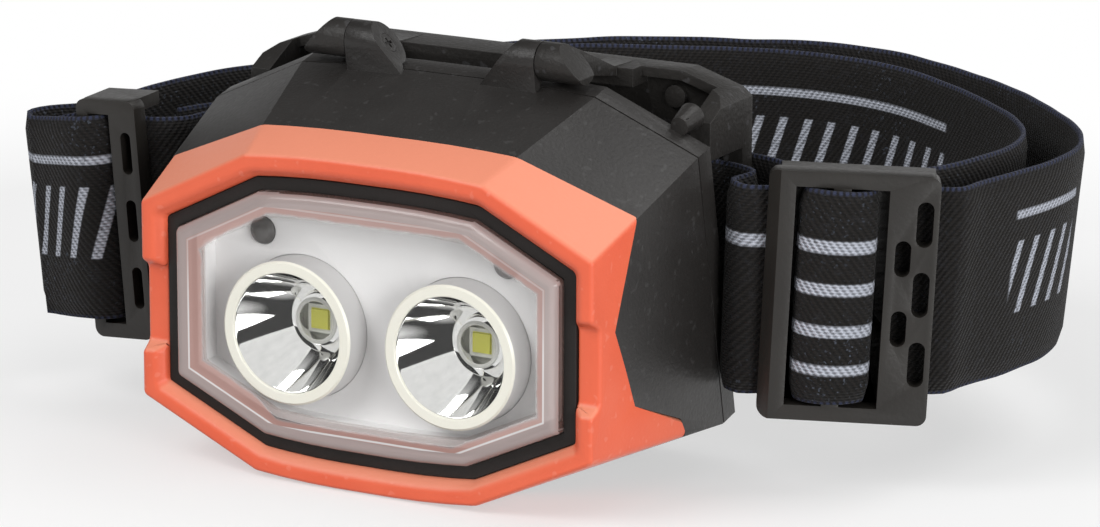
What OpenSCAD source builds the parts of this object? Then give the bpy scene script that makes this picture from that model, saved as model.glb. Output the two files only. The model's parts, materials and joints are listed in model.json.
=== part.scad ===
/* [Lamp body] */
// Width across the front rim
front_w = 60.2; // [54:0.2:66]
// Width of the rim's top edge
front_top_w = 31.3; // [26:0.1:36]
// Width of the rim's bottom edge
front_bottom_w = 29.5; // [24:0.1:34]
// Height of the front rim
front_h = 39.2; // [36:0.1:43]
// Height where the rim's sides start
front_side_lo = 7.8; // [6:0.1:10]
// Height where the rim's sides end
front_side_hi = 31.3; // [28:0.1:34]
// Bow of the rim's top and bottom edges
front_bow = 0.65; // [0:0.05:1.2]
// Width of the body at the rear seam
rear_w = 65; // [60:0.5:72]
// Width of the top edge at the rear seam
rear_top_w = 39.4; // [34:0.2:44]
// Width of the bottom edge at the rear seam
rear_bottom_w = 36; // [30:0.2:42]
// Height of the rear seam, along its slope
rear_h = 47.1; // [46:0.1:47.6]
// Height along the slope where the rear sides start
rear_side_lo = 6.2; // [5:0.1:8]
// Height along the slope where the rear sides end
rear_side_hi = 40.4; // [37:0.1:43]
// Depth from the front rim to the seam at the base
body_depth = 29.3; // [28:0.1:33]
// Forward lean of the rear seam, in degrees
rear_lean = 12.2; // [11:0.1:13]
// Wall of the coloured bezel
bezel_t = 1.8; // [1.4:0.1:2.2]
// Wall of the black case
case_t = 1.6; // [1.2:0.1:2]

/* [Bezel edge] */
// Depth of the bezel over the top edge
bezel_top_d = 5.9; // [4.8:0.1:7]
// Depth of the bezel at its shoulders
bezel_shoulder_d = 8.8; // [7:0.1:10]
// Depth of the bezel at its waist
bezel_waist_d = 4.5; // [4:0.1:6]
// Height of the waist
bezel_waist_z = 22.4; // [20:0.1:25]
// Height of the hip under the waist
bezel_hip_z = 12.7; // [11:0.1:15]
// Depth of the tail along the lower corner
bezel_tail_d = 19.6; // [16:0.1:21]
// Width of the bezel's rim seen from the front
bezel_rim = 2.8; // [2.4:0.1:3.4]
// Depth of the thumb notch in each side of the rim
notch_d = 1.7; // [1:0.1:2]
// Height of each thumb notch
notch_h = 9; // [6:0.5:12]

/* [Lens and light] */
// Distance of the lens edge inside the front rim
lens_edge = 4.5; // [4.1:0.1:5]
// Width of the raised rim of the lens
lens_rim = 1.7; // [1.2:0.1:2.2]
// Width of the flat step inside the raised rim
lens_step = 1.4; // [1:0.1:1.6]
// Thickness of the lens window
lens_t = 0.8; // [0.6:0.1:1]
// Distance between the two reflectors
reflector_gap = 21.8; // [20:0.1:23.5]
// Outer radius of a reflector
reflector_r = 8.6; // [7.8:0.05:8.9]
// Height of the light axis
light_z = 17.5; // [16:0.1:19]
// Depth of a reflector from its ring to the light source
reflector_d = 7.8; // [7:0.1:8.2]
// Side of the light source package
led_w = 3.4; // [2.8:0.1:3.8]
// Radius of a sensor dome
sensor_r = 1.65; // [1.2:0.05:2]
// Distance between the two sensors
sensor_gap = 32.6; // [30:0.2:34]
// Height of the sensors
sensor_z = 28.4; // [28:0.1:28.9]

/* [Battery and switch] */
// Diameter of a cell
cell_dia = 10.1; // [9.8:0.1:10.3]
// Length of a cell
cell_len = 44.5; // [42:0.5:45]
// Height of the lowest cell's axis
cell_z = 13.7; // [13.5:0.1:13.9]
// Radius of the push button
button_r = 4.7; // [3.5:0.1:5.2]
// Travel of the push button
button_travel = 0.8; // [0.4:0.1:1]

/* [Hinge and bracket] */
// Radius of the hinge barrels
barrel_r = 2.3; // [2:0.05:2.4]
// Height of the hinge axis
hinge_z = 48.9; // [48.8:0.1:50]
// Depth of the hinge axis
hinge_d = 19.9; // [19.5:0.1:20.3]
// Radius of the hinge pin
pin_r = 1; // [0.8:0.05:1.2]
// Half distance between the two hinge splits
hinge_split = 12.7; // [11:0.1:14]
// Length of a bracket knuckle
arm_w = 5.8; // [5:0.1:6.2]
// Half width of the bracket
bracket_w = 31.2; // [30.6:0.1:33]
// Top height of the bracket
bracket_top = 46.4; // [45.6:0.1:47.2]
// Bottom height of the bracket
bracket_bottom = 6.2; // [5:0.1:7]
// Clearance between the rear cover and the bracket's plate
plate_gap = 0.7; // [0.5:0.1:1.6]
// Thickness of the bracket plate
plate_t = 2.4; // [2:0.1:3]
// Width of the bar that the strap goes round
bar_w = 2.6; // [2:0.1:2.8]

/* [Headband] */
// Width of the elastic strap
strap_w = 25; // [22:0.5:25]
// Thickness of the elastic strap
strap_t = 1.4; // [1:0.1:1.6]
// Height of the strap's lower edge
strap_z = 11.3; // [11.2:0.1:12.8]
// How far the band narrows from its top to its bottom edge
strap_taper = 0.032; // [0:0.002:0.04]
// Width of the wide slide buckle
buckle_w = 18.8; // [17.5:0.1:19.4]
// Width of the narrow strap keeper
keeper_w = 8.4; // [7.8:0.1:9]
// Thickness of the buckle frame
buckle_t = 2.4; // [2:0.1:2.8]
// Width of the buckle's end bars, above and below the strap
buckle_end = 1.8; // [1.6:0.1:2.2]
// Width of the wide buckle's perforated bar
grip_w = 5.8; // [5.4:0.1:6.2]
// Turn of the wide buckle away from the lamp's front, in degrees
buckle_turn = 27; // [25:0.5:29]

/* [Hidden] */
$fn = 64;
skin = 0.02;
fit = 0.05;
gap = 0.3;
// The front rim lies ahead of the origin, which is on the resting face
front_y = -14;
lean_tan = tan(rear_lean);

// Depths behind the front rim
rim_face = 1.7;
bevel_d = 1.2;
window_d = 0.2;
step_d = 2.4;
seat_d = 3.4;
plate_floor_d = 5;
plate_floor_t = 1.2;
ring_d = window_d + lens_t + 0.1;
led_d = ring_d + reflector_d;
led_t = 0.7;
board_d = led_d + led_t;
board_t = 1.6;
tray_d = board_d + board_t + gap;
tray_t = 1.2;
cell_d = tray_d + tray_t + gap / 3 + cell_dia / 2;
cover_gap = 0.25;
cover_side = 3.1;
cover_back = 4.7;
cover_chamfer = 2.4;
plate_d = body_depth + cover_back / cos(rear_lean) + plate_gap;

// Bowed edge: points from x = -w/2 to x = w/2 that rise by the bow at the middle
bow_steps = 8;
function bow(w, rise) = [for (i = [0:bow_steps]) let (u = 2 * i / bow_steps - 1)
    [u * w / 2, rise * (1 - pow(max(0, abs(u) - 0.2) / 0.8, 2))]];
function flip(p) = [for (i = [len(p) - 1:-1:0]) p[i]];
function shift(p, x, z) = [for (q = p) q + [x, z]];

// Eight-sided outline, anticlockwise from the lower left
function front_outline() = concat(
    [for (q = bow(front_bottom_w, front_bow)) [q[0], front_bow - q[1]]],
    [[front_w / 2, front_side_lo], [front_w / 2, front_side_hi]],
    flip(shift(bow(front_top_w, front_bow), 0, front_h - front_bow)),
    [[-front_w / 2, front_side_hi], [-front_w / 2, front_side_lo]]);
function rear_outline() = concat(
    [[-rear_bottom_w / 2, 0], [rear_bottom_w / 2, 0], [rear_w / 2, rear_side_lo], [rear_w / 2, rear_side_hi]],
    flip(shift(bow(rear_top_w, front_bow), 0, rear_h - front_bow)),
    [[-rear_w / 2, rear_side_hi], [-rear_w / 2, rear_side_lo]]);

// The outline drawn in by t, for a convex anticlockwise outline
function inset(p, t) = let (n = len(p)) [for (i = [0:n - 1])
    let (a = p[(i + n - 1) % n], b = p[i], c = p[(i + 1) % n],
        u = (b - a) / norm(b - a), v = (c - b) / norm(c - b),
        nu = [-u[1], u[0]], nv = [-v[1], v[0]])
    b + t * (nu + nv) / (1 + nu * nv)];

// Upright slab from depth d to d + t
module slab(p, d, t) {
    translate([0, front_y + d + t, 0]) rotate([90, 0, 0]) linear_extrude(t) polygon(p);
}
// Frame of the leaning rear seam
module on_rear() {
    translate([0, front_y + body_depth, 0]) rotate([rear_lean, 0, 0]) children();
}
module rear_slab(p, d, t) {
    on_rear() translate([0, d + t, 0]) rotate([90, 0, 0]) linear_extrude(t) polygon(p);
}
// Upright prism with a side profile of [depth, height] points
module side_prism(p, x0, x1) {
    translate([x0, front_y, 0]) rotate([90, 0, 90]) linear_extrude(x1 - x0) polygon(p);
}
module both_sides() {
    children();
    mirror([1, 0, 0]) children();
}
// Round rod along X
module rod(d, z, r, x0, x1) {
    translate([x0, front_y + d, z]) rotate([0, 90, 0]) cylinder(r = r, h = x1 - x0);
}
// Round rod along Y
module stud(x, z, r, d0, d1) {
    translate([x, front_y + d0, z]) rotate([-90, 0, 0]) cylinder(r = r, h = d1 - d0);
}
module block(x, d, z) {
    translate([x[0], front_y + d[0], z[0]]) cube([x[1] - x[0], d[1] - d[0], z[1] - z[0]]);
}

// Body: a loft from the front rim to the leaning rear seam
module loft(t_front, t_rear, d, past) {
    hull() {
        slab(inset(front_outline(), t_front), d, skin);
        rear_slab(inset(rear_outline(), t_rear), past - skin, skin);
    }
}
module body_outer() {
    loft(0, 0, 0, 0);
}
module body_core() {
    loft(bezel_t, bezel_t, seat_d, 0);
}
function side_hi(d) = front_side_hi + (rear_side_hi * cos(rear_lean) - front_side_hi) * d / hinge_d;
// The space that the bezel takes, seen from the side
module bezel_zone() {
    hip_d = bezel_shoulder_d;
    tail_z = bezel_hip_z - 3.8;
    side_prism([[-2, -2], [hip_d, -2], [hip_d, 0], [bezel_tail_d, tail_z - 3.8], [bezel_tail_d, tail_z - 1.7],
        [bezel_tail_d - 1, tail_z], [hip_d, bezel_hip_z], [bezel_waist_d, bezel_waist_z],
        [bezel_shoulder_d, side_hi(bezel_shoulder_d)], [bezel_top_d, front_h + 2.2],
        [bezel_top_d - 2.4, front_h + 8], [-2, front_h + 8]], -rear_w, rear_w);
}
module front_bezel() {
    mid = (bezel_waist_z + bezel_hip_z) / 2 + 1.2;
    half = notch_h / 2;
    color("tomato") difference() {
        intersection() {
            body_outer();
            bezel_zone();
        }
        body_core();
        hull() {
            slab(inset(front_outline(), rim_face), -skin, skin);
            slab(inset(front_outline(), bezel_rim), bevel_d, skin);
        }
        slab(inset(front_outline(), bezel_rim), bevel_d, seat_d);
        translate([0, front_y + button_d, -1]) cylinder(r = button_r + gap, h = boss_z);
        both_sides() side_prism([[-1, mid - half - 1.6], [0, mid - half - 1], [notch_d, mid - half],
            [notch_d, mid + half], [0, mid + half + 1], [-1, mid + half + 1.6]],
            front_w / 2 - bezel_rim - 1, rear_w / 2);
    }
}
// Hinge knuckle of the lamp: a barrel on a foot at the case's rear top edge, with a slanted inner end
module lamp_knuckle() {
    foot_z = rear_h * cos(rear_lean);
    foot_d = body_depth - foot_z * lean_tan;
    intersection() {
        union() {
            rod(hinge_d, hinge_z, barrel_r, knuckle_x, hinge_split);
            side_prism([[foot_d - 1, foot_z - 1.4], [foot_d - 0.15, foot_z - 0.6], [foot_d - 0.1, foot_z],
                [hinge_d, hinge_z - barrel_r + 0.1], [hinge_d, hinge_z], [hinge_d - barrel_r, hinge_z]],
                knuckle_x, hinge_split);
        }
        knuckle_slant();
    }
}
// Space beyond the slanted inner end of a knuckle
knuckle_x = hinge_split - 7.4;
slant_run = 4.6;
slant_z = rear_h * cos(rear_lean) - 0.4;
slant_rise = hinge_z + barrel_r - slant_z;
module knuckle_slant() {
    translate([0, front_y, 0]) rotate([90, 0, 0]) translate([0, 0, -body_depth]) linear_extrude(body_depth)
        polygon([[knuckle_x, slant_z - 5], [hinge_split + 9, slant_z - 5], [hinge_split + 9, hinge_z + 5],
            [knuckle_x + slant_run, hinge_z + 5], [knuckle_x + slant_run, hinge_z + barrel_r],
            [knuckle_x, slant_z]]);
}
// Rib inside each side wall that the battery tray is screwed to
seam_d = body_depth - lean_tan * rear_h / 2;
function cavity_half(d) = let (f = (d - plate_floor_d) / (seam_d - plate_floor_d))
    (front_w / 2 - bezel_t - case_t) * (1 - f) + (rear_w / 2 - case_t) * f;
screw_r = 0.9;
screw_head = 1.4;
screw_x = cavity_half(tray_d) - screw_head - 0.1;
rib_x = screw_x - screw_r - gap;
rib_len = 4;
cell_gap = 0.1;
function cell_height(i) = cell_z + i * (cell_dia + cell_gap);
tray_z0 = cell_z - cell_dia / 2;
tray_z1 = cell_height(2) + cell_dia / 2 + 0.2;
tray_screw_z = [cell_height(0.5), cell_height(1.5)];
button_d = 17;
button_lip = 0.8;
boss_z = 3.2;
switch_z = boss_z + button_lip + button_travel + gap;
switch_h = 1.6;
switch_w = 6;
board_half = 10;
switch_post_x = button_r + 3.6;
module front_case() {
    opening = inset(front_outline(), lens_edge + lens_rim);
    color("dimgray") difference() {
        union() {
            difference() {
                union() {
                    body_core();
                    difference() {
                        body_outer();
                        bezel_zone();
                    }
                }
                loft(bezel_t + case_t, case_t, plate_floor_d, 1);
            }
            both_sides() lamp_knuckle();
            both_sides() intersection() {
                body_core();
                block([rib_x, rear_w], [tray_d - rib_len, tray_d], [tray_z0 + 3, cell_height(2)]);
            }
            translate([0, front_y + button_d, bezel_t])
                cylinder(r = button_r + gap + 1.6, h = boss_z - bezel_t);
            both_sides() translate([switch_post_x, front_y + button_d, bezel_t])
                cylinder(r = 1.5, h = switch_z + switch_h - bezel_t);
        }
        slab(opening, seat_d - 1, plate_floor_d - seat_d + 2);
        both_sides() rod(hinge_d, hinge_z, pin_r + skin, 0, hinge_split + 1);
        both_sides() for (z = tray_screw_z)
            stud(screw_x, z, screw_r + skin, tray_d - rib_len - 1, tray_d + 1);
        translate([0, front_y + button_d, -1]) cylinder(r = button_r + gap, h = boss_z + 2);
        both_sides() translate([switch_post_x, front_y + button_d, switch_z - 1])
            cylinder(r = 0.6 + skin, h = switch_h + 2);
    }
}

// Clear front with a raised rim, seated on the case
module lens() {
    outline = inset(front_outline(), lens_edge);
    window = inset(outline, lens_rim);
    color("lightcyan", 0.4) difference() {
        hull() {
            slab(inset(outline, 0.5), 0, skin);
            slab(outline, 0.75, seat_d - 0.75);
        }
        hull() {
            slab(inset(window, -0.5), -skin, skin);
            slab(window, window_d - skin, skin);
        }
        slab(inset(window, -0.1), step_d, seat_d);
        slab(inset(window, lens_step), window_d + lens_t, seat_d);
    }
}
module lens_frame() {
    color("black") difference() {
        slab(inset(front_outline(), bezel_rim + fit), bevel_d + 0.3, seat_d - bevel_d - 0.3);
        slab(inset(front_outline(), lens_edge - fit), bevel_d - 1, seat_d);
    }
}
// Pale tray that carries the reflectors, the sensors and the board
post_z = [light_z - 6.5, light_z + 6.5];
module reflector_plate() {
    tray = inset(front_outline(), lens_edge + lens_rim + fit);
    front = step_d + fit;
    color("gainsboro") difference() {
        union() {
            difference() {
                slab(tray, front, plate_floor_d - front + plate_floor_t);
                slab(inset(tray, 0.9), front - 1, plate_floor_d - front + 1);
            }
            slab(inset(tray, -1), plate_floor_d, plate_floor_t);
            for (z = post_z) stud(0, z, 1.9, plate_floor_d + plate_floor_t, board_d);
        }
        both_sides() stud(reflector_gap / 2, light_z, reflector_r + fit, ring_d, board_d);
        both_sides() stud(sensor_gap / 2, sensor_z, sensor_r + fit, ring_d, board_d);
        for (z = post_z) stud(0, z, 0.8 + skin, plate_floor_d + 0.6, board_d + 1);
    }
}
// Parabolic cup with a flat front ring, a seating flange and a collar round the light source
module reflector(x) {
    neck = 2.9;
    mouth = reflector_r - 1.15;
    bowl = reflector_d - 0.5;
    focal = (mouth * mouth - neck * neck) / bowl;
    back = plate_floor_d + plate_floor_t - ring_d;
    steps = 16;
    curve = [for (i = [0:steps]) let (s = bowl * i / steps)
        [sqrt(neck * neck + focal * s), reflector_d - 0.1 - s]];
    translate([x, front_y + ring_d, light_z]) rotate([-90, 0, 0]) color("ivory") {
        rotate_extrude() polygon(concat(curve, [[mouth, 0], [reflector_r, 0], [reflector_r, back],
            [reflector_r + 0.9, back], [reflector_r + 0.9, back + 0.9], [reflector_r - 0.6, back + 0.9],
            [neck + 1.4, reflector_d + led_t], [neck, reflector_d + led_t]]));
    }
}
module reflector_left() { reflector(-reflector_gap / 2); }
module reflector_right() { reflector(reflector_gap / 2); }
// Light source: a square package with its raised square phosphor, inside a round collar
module led(x) {
    translate([x, front_y, light_z]) color("khaki") {
        translate([-led_w / 2, led_d, -led_w / 2]) cube([led_w, led_t, led_w]);
        translate([-led_w / 3, led_d - 0.3, -led_w / 3]) cube([led_w / 1.5, 0.3, led_w / 1.5]);
    }
}
module led_left() { led(-reflector_gap / 2); }
module led_right() { led(reflector_gap / 2); }
board_h = 16.5;
module led_board() {
    half = reflector_gap / 2 + reflector_r + 1.5;
    color("white") difference() {
        block([-half, half], [board_d, board_d + board_t], [light_z - board_h / 2, light_z + board_h / 2]);
        for (z = post_z) stud(0, z, 0.8 + fit, board_d - 1, board_d + board_t + 1);
    }
}
// Screw along -Y with a domed head and a crossed recess
module screw_y(x, z, d, r, head_r, len) {
    head_t = head_r * 0.6;
    difference() {
        union() {
            stud(x, z, r, d - len, d);
            stud(x, z, head_r, d, d + head_t);
        }
        for (a = [0, 90]) translate([x, front_y + d + head_t, z]) rotate([0, a, 0])
            cube([head_r * 1.2, head_t, 0.35], center = true);
    }
}
module board_screws() {
    color("silver") for (z = post_z)
        screw_y(0, z, board_d + board_t, 0.8, 1.5, board_d + board_t - plate_floor_d - 1);
}
module sensor(x, c) {
    color(c) translate([x, front_y, sensor_z]) rotate([-90, 0, 0]) {
        rotate_extrude() polygon(concat([[0, plate_floor_d - sensor_r * 0.6]],
            [for (a = [15:15:90]) [sensor_r * sin(a), plate_floor_d - sensor_r * 0.6 * cos(a)]],
            [[sensor_r, plate_floor_d + plate_floor_t], [sensor_r + 0.5, plate_floor_d + plate_floor_t],
                [sensor_r + 0.5, plate_floor_d + plate_floor_t + 1.2],
                [0, plate_floor_d + plate_floor_t + 1.2]]));
    }
}
module ir_emitter() { sensor(-sensor_gap / 2, "black"); }
module ir_receiver() { sensor(sensor_gap / 2, "gray"); }

// Battery tray: a plate on the case's ribs, with end walls for the contacts and fins between the cells
contact_t = 0.4;
spring_len = 1.3;
tray_end = cell_len / 2 + spring_len + contact_t;
end_wall = 1;
module battery_tray() {
    back = cell_d + cell_dia / 4;
    tab = cell_dia / 2 - screw_head - 2 * gap;
    color("darkslategray") difference() {
        union() {
            intersection() {
                union() {
                    block([-rear_w / 2, rear_w / 2], [tray_d, tray_d + tray_t], [tray_z0, tray_z1]);
                    both_sides() for (i = [0:2]) block([tray_end, tray_end + end_wall], [tray_d, back],
                        [cell_height(i) - tab, cell_height(i) + tab]);
                }
                loft(bezel_t + case_t + 2 * gap, case_t + 2 * gap, plate_floor_d, 0);
            }
        }
        for (z = post_z) stud(0, z, 1.5 + gap, tray_d - 1, tray_d + tray_t + 1);
        both_sides() for (z = tray_screw_z) stud(screw_x, z, screw_r + fit, tray_d - 1, tray_d + tray_t + 1);
    }
}
module tray_screws() {
    color("silver") both_sides() for (z = tray_screw_z)
        screw_y(screw_x, z, tray_d + tray_t, screw_r, screw_head,
            tray_t + rib_len - 0.4);
}
// Dry cell along X, its raised pole towards +X or -X
module cell(i, way) {
    nub = 1;
    r = cell_dia / 2;
    color("goldenrod") translate([0, front_y + cell_d, cell_height(i)]) rotate([0, 90 * way, 0])
        translate([0, 0, -cell_len / 2]) rotate_extrude() polygon([[0, 0], [r - 0.4, 0], [r, 0.4],
            [r, cell_len - nub - 0.4], [r - 0.4, cell_len - nub], [1.9, cell_len - nub], [1.9, cell_len],
            [0, cell_len]]);
}
module cell_lower() { cell(0, 1); }
module cell_middle() { cell(1, -1); }
module cell_upper() { cell(2, 1); }
module contact_plates() {
    color("silver") both_sides() for (i = [0:2]) {
        block([tray_end - contact_t, tray_end], [cell_d - 3.6, cell_d + 2],
            [cell_height(i) - 3, cell_height(i) + 2.2]);
    }
}
// Conical contact springs at the flat ends and round pads at the raised poles
module contact_springs() {
    color("silver") for (i = [0:2]) for (s = [-1, 1])
        translate([s * cell_len / 2, front_y + cell_d, cell_height(i)]) rotate([0, 90 * s, 0])
            cylinder(r1 = 1.7, r2 = (s > 0) == (i == 1) ? 2.9 : 1.9, h = spring_len);
}
module switch_board() {
    color("seagreen") difference() {
        block([-board_half, board_half], [button_d - board_half / 2, button_d + board_half / 2],
             [switch_z + switch_h, switch_z + switch_h + 0.7]);
        both_sides() translate([switch_post_x, front_y + button_d, switch_z]) cylinder(r = 0.6 + skin, h = 6);
    }
}
module tact_switch() {
    color("black") difference() {
        block([-switch_w / 2, switch_w / 2], [button_d - switch_w / 2, button_d + switch_w / 2],
            [switch_z, switch_z + switch_h]);
        translate([0, front_y + button_d, switch_z - 1])
            cylinder(r = 1.6 + gap, h = 1 + button_travel + 2 * gap);
    }
}
module switch_plunger() {
    color("ivory") translate([0, front_y + button_d, boss_z + button_lip])
        cylinder(r = 1.6, h = switch_z - boss_z - button_lip + 0.3);
}
// Rubber button that stands just inside the resting face
module power_button() {
    sink = 0.3;
    color("black") translate([0, front_y + button_d, 0]) rotate_extrude() polygon([[0, sink + 0.3],
        [button_r - 1.6, sink + 0.2], [button_r - 1, sink], [button_r - 0.4, sink], [button_r, sink + 0.4],
        [button_r, boss_z], [button_r + 1.3, boss_z], [button_r + 1.3, boss_z + button_lip],
        [0, boss_z + button_lip]]);
}
// Rear battery cover: a shallow lid on the leaning seam, with a tongue inside the case and a thumb lug
module rear_cover() {
    outline = rear_outline();
    tongue = inset(outline, case_t + 1.1);
    wall = case_t;
    lug_x = rear_top_w / 4 + rear_w / 4 + 3.1;
    lug_z = (rear_h + rear_side_hi) / 2 - 0.8;
    lug_back = cover_side + 2.4;
    lug_len = 3.2;
    color("black") difference() {
        union() {
            hull() {
                rear_slab(outline, cover_gap, cover_side - cover_gap);
                rear_slab(inset(outline, cover_chamfer), cover_back - skin, skin);
            }
            rear_slab(tongue, -1.2, 1.2 + cover_side);
            on_rear() translate([lug_x, lug_back, lug_z]) rotate([90, 0, 0])
                cylinder(r1 = 1.6, r2 = 1.1, h = lug_len, $fn = 32);
        }
        rear_slab(inset(tongue, 1.1), -2, 2 + cover_side - wall);
        rear_slab(inset(outline, cover_chamfer + wall), 0, cover_back - wall);
    }
}
module cover_seal() {
    ring = inset(rear_outline(), 0.5);
    color("gray") difference() {
        rear_slab(ring, 0, cover_gap);
        rear_slab(inset(rear_outline(), case_t), -1, 2);
    }
}

// Pin of one hinge, pressed into the lamp's knuckle, with a crossed recess in its slanted inner end
pin_end = hinge_split + 2.6;
module hinge_pin() {
    mark_x = knuckle_x + slant_run * (hinge_z - slant_z) / slant_rise;
    color("black") difference() {
        intersection() {
            rod(hinge_d, hinge_z, pin_r, knuckle_x, pin_end);
            knuckle_slant();
        }
        translate([mark_x, front_y + hinge_d, hinge_z]) rotate([0, -atan2(slant_rise, slant_run), 0])
            for (a = [0, 90]) rotate([0, 0, a]) cube([1.3, 0.35, 0.6], center = true);
    }
}
module hinge_pin_right() { hinge_pin(); }
module hinge_pin_left() { mirror([1, 0, 0]) hinge_pin(); }

// Bracket: a plate behind the lamp with a forward rim, two hinge arms and a strap slot near each side
shoulder = 7.2;
function bracket_outline() = let (w = bracket_w) [
    [-w + 5, bracket_bottom], [w - 5, bracket_bottom], [w, bracket_bottom + 3], [w, bracket_top - 2.9],
    [w - 1.2, bracket_top - 1.9], [w - shoulder, bracket_top], [-w + shoulder, bracket_top],
    [-w + 1.2, bracket_top - 1.9], [-w, bracket_top - 2.9], [-w, bracket_bottom + 3]];
slot_z0 = strap_z - 0.6;
slot_z1 = strap_z + strap_w + 0.6;
slot_w = 3.2;
// Bar along the top between the hinges, a narrow rail beyond them, and a forward wing with a sloping top
// at each upper corner
wing_d = plate_d - 8.4;
wing_t = 2.6;
wing_z = slot_z1 + 0.8;
rail_t = 1.2;
rail_d = 1.6;
module bracket_rim() {
    bar_x = hinge_split + arm_w;
    bar_h = 2.2;
    block([-bar_x, bar_x], [plate_d - 3.6, plate_d + skin], [bracket_top - bar_h, bracket_top]);
    intersection() {
        difference() {
            slab(bracket_outline(), plate_d - rail_d, rail_d + skin);
            slab(inset(bracket_outline(), rail_t), plate_d - rail_d - 1, rail_d + 2);
        }
        block([-bracket_w, bracket_w], [wing_d, plate_d + skin], [wing_z, bracket_top]);
    }
    both_sides() intersection() {
        slab(bracket_outline(), wing_d, plate_d - wing_d + skin);
        block([bracket_w - wing_t, bracket_w], [wing_d, plate_d + skin], [wing_z, bracket_top]);
        side_prism([[wing_d - 1, 0], [plate_d + 1, 0], [plate_d + 1, bracket_top], [plate_d, bracket_top],
            [wing_d - 1, bracket_top - 4.7]], 0, bracket_w + 1);
    }
}
module bracket_arm() {
    x0 = hinge_split + 0.1;
    x1 = hinge_split + arm_w;
    web_x = x1 - 2.2;
    intersection() {
        union() {
            rod(hinge_d, hinge_z, barrel_r, x0, x1);
            side_prism([[hinge_d, hinge_z + barrel_r], [hinge_d, hinge_z - 1], [hinge_d + 1.4, hinge_z - 1.7],
                [plate_d - 4, bracket_top - 1], [plate_d + plate_t - 1, bracket_top - 1.6],
                [plate_d + plate_t - 1, bracket_top], [plate_d - 4, bracket_top + 0.2]], x0, web_x);
        }
        translate([0, front_y, 0]) rotate([90, 0, 0]) translate([0, 0, -plate_d - plate_t])
            linear_extrude(plate_d + plate_t) polygon([[x0, bracket_top - 5], [x1, bracket_top - 5],
                [x1, hinge_z - barrel_r * 0.6], [x1 - 3.4, hinge_z + barrel_r + 0.2], [x1 - 3.4, hinge_z + 5],
                [x0, hinge_z + 5]]);
    }
}
module bracket() {
    boss_x = bracket_w - 8.6;
    boss_top = bracket_top - 3.4;
    color("black") difference() {
        union() {
            slab(bracket_outline(), plate_d, plate_t);
            bracket_rim();
            both_sides() bracket_arm();
            both_sides() stud(boss_x, boss_top, 1.35, plate_d - 0.8, plate_d + 1);
        }
        both_sides() block([bracket_w - bar_w - slot_w, bracket_w - bar_w],
            [plate_d - 1, plate_d + plate_t + 1], [slot_z0, slot_z1]);
        both_sides() rod(hinge_d, hinge_z, pin_r + fit, hinge_split, pin_end + 0.2);
    }
}

// Strap route in plan, as [x, depth] points along its middle, with a smooth curve through them
bar_edge = bracket_w - bar_w;
wrap = strap_t / 2 + 0.75;
// Turn round the inner edge of one bracket bar, from its front to its back
function round_bar(side) = concat(
    [for (a = [0:22.5:90]) [side * (bar_edge - wrap * sin(a)), plate_d - wrap * cos(a)]],
    [for (a = [0:22.5:90]) [side * (bar_edge - wrap * cos(a)), plate_d + plate_t + wrap * sin(a)]]);
// Places beside the lamp are given by their distance from the case's widest side
function beside(side, p) = [for (q = p) [side * (rear_w / 2 + q[0]), q[1]]];
buckle_at = [rear_w / 2 + 15.5, 29.6];
along = [cos(buckle_turn), sin(buckle_turn)];
keeper_at = [-rear_w / 2 - 12.2, 19.8];
band_points = concat(beside(-1, [[7.9, 25.6], [5.1, 30.8], [1.6, 37.4]]), flip(round_bar(-1)),
    beside(-1, [[1.9, 31.4], [3.7, 26.4], [4.9, 22]]),
    [for (s = [-1, 0, 1]) keeper_at + [-6.4 * s - 1.8, 0]],
    beside(-1, [[25.1, 20], [28.1, 22.6], [27.5, 26.2], [22.9, 31.6], [18.5, 39], [12.9, 51]]),
    [[-36.4, 65], [-26.6, 76.4], [-10.6, 90], [8.6, 95.4], [23.4, 95], [40, 86.8]],
    beside(1, [[19.5, 76], [27.9, 66], [30.3, 57], [29.3, 46.6], [27.1, 38.4]]),
    [for (s = [12.4, 9.4, 0, -9.4, -11.8]) buckle_at + s * along],
    beside(1, [[3.1, 27], [1.7, 31.4]]), round_bar(1),
    beside(1, [[1.1, 37.4], [7.5, 34], [13.5, 36], [19.1, 43], [22.1, 55], [20.1, 65]]),
    [[43.6, 76], [26.6, 87.6], [11, 89.6], [-2, 87.6], [-14, 82.6], [-25.6, 74.8]]);
curve_step = 2.2;
// Slope at b of a curve through a, b and c, for the stretch from b to c
function slope(a, b, c) = let (j = sqrt(norm(b - a)), k = sqrt(norm(c - b)))
    k * ((b - a) / j - (c - a) / (j + k) + (c - b) / k);
function between(a, b, c, d) = let (m = slope(a, b, c), n = -slope(d, c, b),
        steps = max(1, round(norm(c - b) / curve_step)))
    [for (i = [0:steps - 1]) let (t = i / steps, u = 1 - t)
        u * u * (1 + 2 * t) * b + t * u * u * m + t * t * (3 - 2 * t) * c - t * t * u * n];
function smooth(p) = let (n = len(p), q = concat([2 * p[0] - p[1]], p, [2 * p[n - 1] - p[n - 2]]))
    concat([for (i = [1:n - 1]) each between(q[i - 1], q[i], q[i + 1], q[i + 2])], [p[n - 1]]);
// Both edges of a strip of thickness t along a route
function strip(p, t) = let (n = len(p), side = [for (i = [0:n - 1])
        let (v = p[min(i + 1, n - 1)] - p[max(i - 1, 0)]) [-v[1], v[0]] / norm(v) * t / 2])
    concat([for (i = [0:n - 1]) p[i] + side[i]], [for (i = [n - 1:-1:0]) p[i] - side[i]]);
band_middle = [2, 46];
module headband() {
    low = 1 - strap_taper / 2;
    color("darkslateblue") translate([band_middle[0], front_y + band_middle[1], strap_z])
        linear_extrude(strap_w, scale = (1 + strap_taper / 2) / low)
            polygon([for (q = strip(smooth(band_points), strap_t)) (q - band_middle) * low]);
}

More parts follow.
